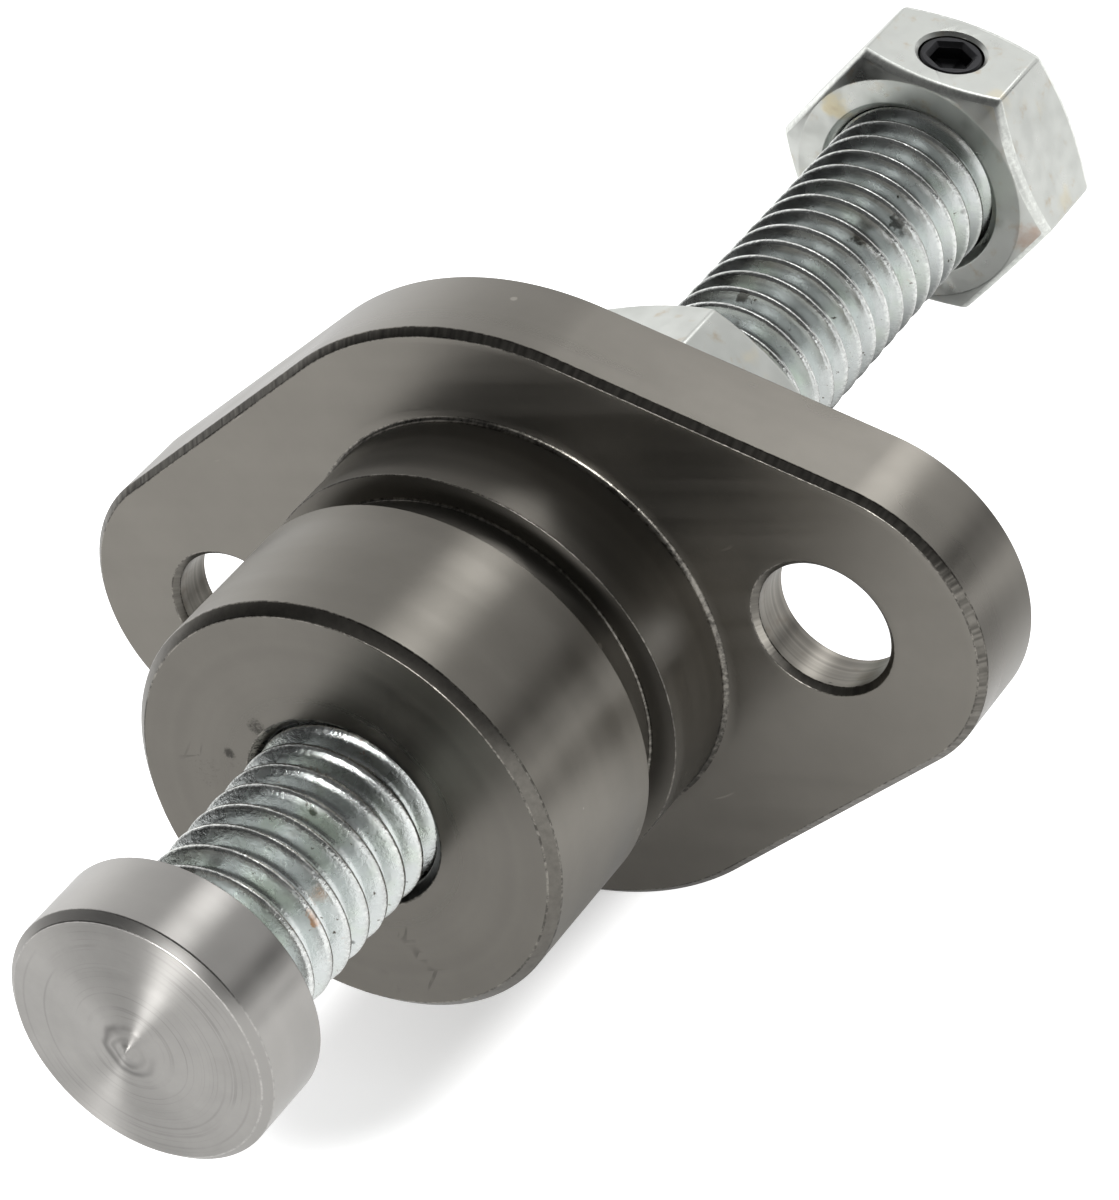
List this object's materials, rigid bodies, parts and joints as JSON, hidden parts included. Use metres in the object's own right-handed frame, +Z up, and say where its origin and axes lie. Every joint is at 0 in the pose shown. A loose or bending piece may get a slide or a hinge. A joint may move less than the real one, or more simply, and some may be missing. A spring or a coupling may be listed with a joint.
{
  "type": "cam chain tensioner",
  "caption": "Manual cam chain tensioner: flanged housing with a threaded adjuster bolt, coned pad, lock nut and head nut with a set screw.",
  "frame": {"origin": "centre of the flange's mounting face, on the screw's axis", "axes": "-Y along the screw towards the pad, +X along the two flange holes, +Z up"},
  "size_m": [0.0518, 0.0837, 0.0328],
  "materials": {
    "machined_housing": "satin machined, grey",
    "zinc_thread": "bright zinc plate",
    "zinc_nut": "pale zinc plate",
    "black_oxide": "black oxide"
  },
  "bodies": {
    "housing": {"housing": "machined_housing"},
    "adjuster": {"adjuster_bolt": "zinc_thread"},
    "head": {"head_nut": "zinc_nut", "set_screw": "black_oxide"},
    "lock_nut": {"lock_nut": "zinc_nut"}
  },
  "joints": [
    {"name": "bolt_travel", "type": "slide", "parent": "housing", "child": "adjuster", "axis": [0, -1, 0], "range_m": [-0.0127, 0.01905]},
    {"name": "head_turn", "type": "hinge", "parent": "adjuster", "child": "head", "pos_m": [0, 0.0458, 0], "axis": [0, -1, 0], "range_deg": [-2881, 4321]},
    {"name": "lock_nut_travel", "type": "slide", "parent": "housing", "child": "lock_nut", "axis": [0, 1, 0], "range_m": [-0.00665, 0.003]}
  ],
  "couplings": [
    {"joint": "head_turn", "follows": "bolt_travel", "rad_per_m": 3957.9}
  ]
}
